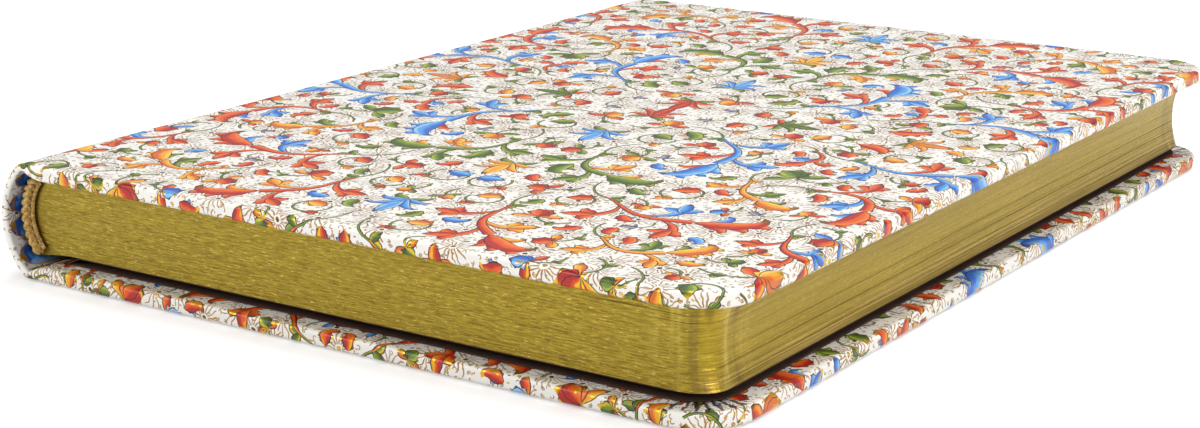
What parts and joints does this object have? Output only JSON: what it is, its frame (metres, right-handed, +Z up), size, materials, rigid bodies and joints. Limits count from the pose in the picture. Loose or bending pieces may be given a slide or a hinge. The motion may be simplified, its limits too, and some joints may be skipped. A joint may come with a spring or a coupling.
{
  "type": "hardcover journal",
  "caption": "Case-bound journal with a rounded back, gilt page edges and a printed scrollwork cover; the covers turn on their joints beside a hollow spine.",
  "frame": {"origin": "middle of the underside of the closed journal, on the surface it lies on", "axes": "+X from the spine to the fore-edge, +Y from the tail to the head, +Z up from the back cover to the front cover"},
  "size_m": [0.1316, 0.178, 0.0187],
  "materials": {
    "printed_paper": "gloss printed paper, gold ink",
    "gilt_pages": "burnished gilt edges",
    "endpaper": "matte dark brown",
    "board": "grey-brown binder's board",
    "spine_card": "bent card",
    "band_thread": "braided silk-like thread",
    "spine_cloth": "open-weave lining cloth"
  },
  "bodies": {
    "book_block": {"page_block": "gilt_pages", "front_flyleaf": "endpaper", "back_flyleaf": "endpaper", "headband": "band_thread", "tailband": "band_thread", "spine_lining": "spine_cloth", "spine_inlay": "spine_card", "spine_paper": "printed_paper"},
    "front_cover": {"front_board": "board", "front_cover_paper": "printed_paper", "front_pastedown": "endpaper"},
    "back_cover": {"back_board": "board", "back_cover_paper": "printed_paper", "back_pastedown": "endpaper"}
  },
  "joints": [
    {"name": "front_hinge", "type": "hinge", "parent": "book_block", "child": "front_cover", "pos_m": [-0.06045, 0, 0.01735], "axis": [0, -1, 0], "range_deg": [0, 180]},
    {"name": "back_hinge", "type": "hinge", "parent": "book_block", "child": "back_cover", "pos_m": [-0.06045, 0, 0.00133], "axis": [0, 1, 0], "range_deg": [0, 180]}
  ]
}
